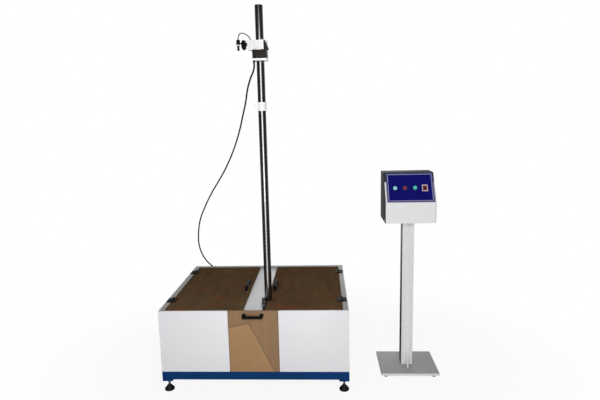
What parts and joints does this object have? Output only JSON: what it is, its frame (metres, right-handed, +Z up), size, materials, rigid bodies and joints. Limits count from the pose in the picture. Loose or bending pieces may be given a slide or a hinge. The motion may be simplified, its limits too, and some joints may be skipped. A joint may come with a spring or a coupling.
{
  "type": "ball drop impact tester",
  "caption": "Ball drop impact tester: low cabinet with hinged lids, a tall column with a magnet carriage and a stop collar, and a separate control stand.",
  "frame": {"origin": "middle of the footprint on the floor, the cable and its loop left out", "axes": "+X to the right from the front, +Y to the back, +Z up along the column"},
  "size_m": [1.506, 0.9385, 2.002],
  "materials": {
    "white_paint": "satin",
    "blue_paint": "semi-gloss",
    "rim_paint": "satin",
    "frame_paint": "satin",
    "pan_steel": "brushed",
    "strip_paint": "satin",
    "seal_rubber": "matte",
    "column_black": "gloss",
    "steel": "ground",
    "bolt_steel": "plated",
    "hinge_black": "satin",
    "ball_steel": "polished",
    "foot_plastic": "moulded",
    "lid_brown": "dark brown film with faint streaks",
    "kraft_film": "brown protective film, torn at an edge",
    "black_plastic": "satin",
    "alloy": "satin",
    "dark_alloy": "black anodised",
    "bush_plastic": "smooth",
    "screw_steel": "knurled",
    "cable_rubber": "matte jacket",
    "stand_grey": "satin",
    "post_grey": "satin",
    "charcoal_paint": "fine texture",
    "blue_print": "printed film",
    "bezel_chrome": "polished",
    "lamp_green": "translucent lens",
    "button_red": "gloss",
    "button_green": "gloss",
    "rocker_red": "gloss",
    "supply_metal": "satin",
    "board_green": "board"
  },
  "bodies": {
    "cabinet": {"base_frame": "blue_paint", "floor_pan": "pan_steel", "inner_frame": "frame_paint", "front_panels": "white_paint", "side_panels": "white_paint", "rear_panel": "white_paint", "top_rim": "rim_paint", "lid_seals": "seal_rubber", "centre_strip": "strip_paint", "column_socket": "steel", "socket_bolts": "bolt_steel", "column": "column_black", "column_toe": "frame_paint", "hinge_leaves_fixed": "hinge_black", "impact_plate": "steel", "specimen_support": "steel", "support_rubber": "seal_rubber", "steel_ball": "ball_steel", "rear_gland": "black_plastic", "magnet_cable": "cable_rubber", "stand_base": "stand_grey", "stand_feet": "seal_rubber", "stand_post": "post_grey", "console_shell": "charcoal_paint", "console_fascia": "post_grey", "blue_panel": "blue_print", "control_bezels": "bezel_chrome", "green_lamp": "lamp_green", "power_supply": "supply_metal", "relay_board": "board_green", "console_gland": "black_plastic"},
    "foot_front_left": {"foot_front_left": "foot_plastic"},
    "foot_front_right": {"foot_front_right": "foot_plastic"},
    "foot_rear_left": {"foot_rear_left": "foot_plastic"},
    "foot_rear_right": {"foot_rear_right": "foot_plastic"},
    "left_lid": {"lid_left": "lid_brown", "lid_handle_left": "black_plastic", "hinge_leaves_left": "hinge_black"},
    "right_lid": {"lid_right": "lid_brown", "lid_handle_right": "black_plastic", "hinge_leaves_right": "hinge_black"},
    "front_panel": {"slide_panel": "kraft_film", "panel_handle": "black_plastic"},
    "clamp": {"clamp_frame": "blue_paint"},
    "slider": {"slider_plate": "alloy", "slider_block": "dark_alloy", "slider_bush": "bush_plastic", "slider_gland": "black_plastic"},
    "head": {"head_block": "alloy", "head_side_plate": "dark_alloy", "arm_rod": "dark_alloy", "magnet_body": "black_plastic", "magnet_pole": "steel", "magnet_lead": "cable_rubber"},
    "knob": {"clamp_knob": "black_plastic"},
    "collar": {"stop_collar": "alloy"},
    "thumb_screw": {"collar_screw": "screw_steel"},
    "red_button": {"red_button": "button_red"},
    "green_button": {"green_button": "button_green"},
    "rocker": {"rocker_switch": "rocker_red"}
  },
  "joints": [
    {"name": "foot_front_left_screw", "type": "slide", "parent": "cabinet", "child": "foot_front_left", "axis": [0, 0, -1], "range_m": [0, 0.02]},
    {"name": "foot_front_right_screw", "type": "slide", "parent": "cabinet", "child": "foot_front_right", "axis": [0, 0, -1], "range_m": [0, 0.02]},
    {"name": "foot_rear_left_screw", "type": "slide", "parent": "cabinet", "child": "foot_rear_left", "axis": [0, 0, -1], "range_m": [0, 0.02]},
    {"name": "foot_rear_right_screw", "type": "slide", "parent": "cabinet", "child": "foot_rear_right", "axis": [0, 0, -1], "range_m": [0, 0.02]},
    {"name": "left_lid_hinge", "type": "hinge", "parent": "cabinet", "child": "left_lid", "pos_m": [-0.723, 0, 0.4603], "axis": [0, -1, 0], "range_deg": [0, 110]},
    {"name": "right_lid_hinge", "type": "hinge", "parent": "cabinet", "child": "right_lid", "pos_m": [0.217, 0, 0.4603], "axis": [0, 1, 0], "range_deg": [0, 110]},
    {"name": "front_panel_slide", "type": "slide", "parent": "cabinet", "child": "front_panel", "axis": [0, 0, 1], "range_m": [0, 0.3]},
    {"name": "clamp_lift", "type": "slide", "parent": "cabinet", "child": "clamp", "axis": [0, 0, 1], "range_m": [0, 0.03]},
    {"name": "slider_height", "type": "slide", "parent": "cabinet", "child": "slider", "axis": [0, 0, 1], "range_m": [-0.11, 0.15], "deforming": ["magnet_cable"]},
    {"name": "collar_height", "type": "slide", "parent": "cabinet", "child": "collar", "axis": [0, 0, 1], "range_m": [-0.95, 0.09]},
    {"name": "head_swivel", "type": "hinge", "parent": "slider", "child": "head", "pos_m": [-0.188, -0.23, 1.784], "axis": [0, 0, 1], "range_deg": [-30, 210]},
    {"name": "knob_turn", "type": "hinge", "parent": "head", "child": "knob", "pos_m": [-0.26779, -0.21483, 1.813], "axis": [-0.9659, 0.2588, 0], "continuous": true},
    {"name": "thumb_screw_turn", "type": "hinge", "parent": "collar", "child": "thumb_screw", "pos_m": [-0.221, -0.245, 1.488], "axis": [0, 1, 0], "continuous": true},
    {"name": "red_button_push", "type": "slide", "parent": "cabinet", "child": "red_button", "axis": [0, 0.857, -0.5153], "range_m": [0, 0.003], "stiffness_N_per_m": 600, "springref_m": -0.002},
    {"name": "green_button_push", "type": "slide", "parent": "cabinet", "child": "green_button", "axis": [0, 0.857, -0.5153], "range_m": [0, 0.003], "stiffness_N_per_m": 600, "springref_m": -0.002},
    {"name": "rocker_tilt", "type": "hinge", "parent": "cabinet", "child": "rocker", "pos_m": [0.6695, -0.16676, 1.05191], "axis": [-1, 0, 0], "range_deg": [0, 18]}
  ]
}
